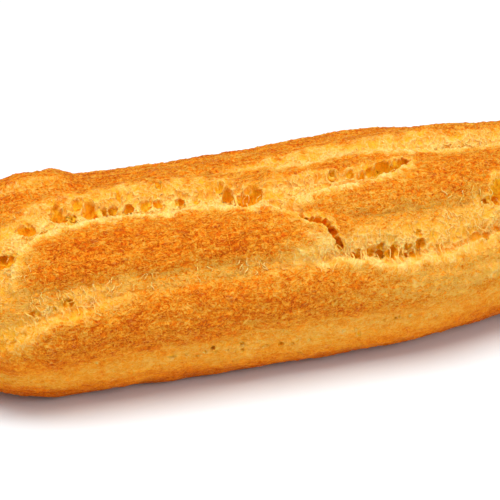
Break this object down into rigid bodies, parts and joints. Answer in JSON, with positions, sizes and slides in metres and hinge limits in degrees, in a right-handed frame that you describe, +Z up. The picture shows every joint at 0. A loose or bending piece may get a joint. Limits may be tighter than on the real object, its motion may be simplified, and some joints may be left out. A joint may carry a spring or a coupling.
{
  "type": "plain eclair shell",
  "caption": "Baked choux pastry log with round ends and a flat foot, its ridged crust torn open along the strands; no glaze, no filling showing.",
  "frame": {"origin": "under the middle of the shell, on the plane its flat foot rests on", "axes": "+X along the length towards the narrower, drawn-out end; +Z up; -Y the front, with the long open tear above it"},
  "size_m": [0.126, 0.0438, 0.0334],
  "materials": {
    "baked_crust": "dry golden-brown baked crust, slightly rough"
  },
  "bodies": {
    "root": {"eclair_shell": "baked_crust"}
  },
  "joints": []
}
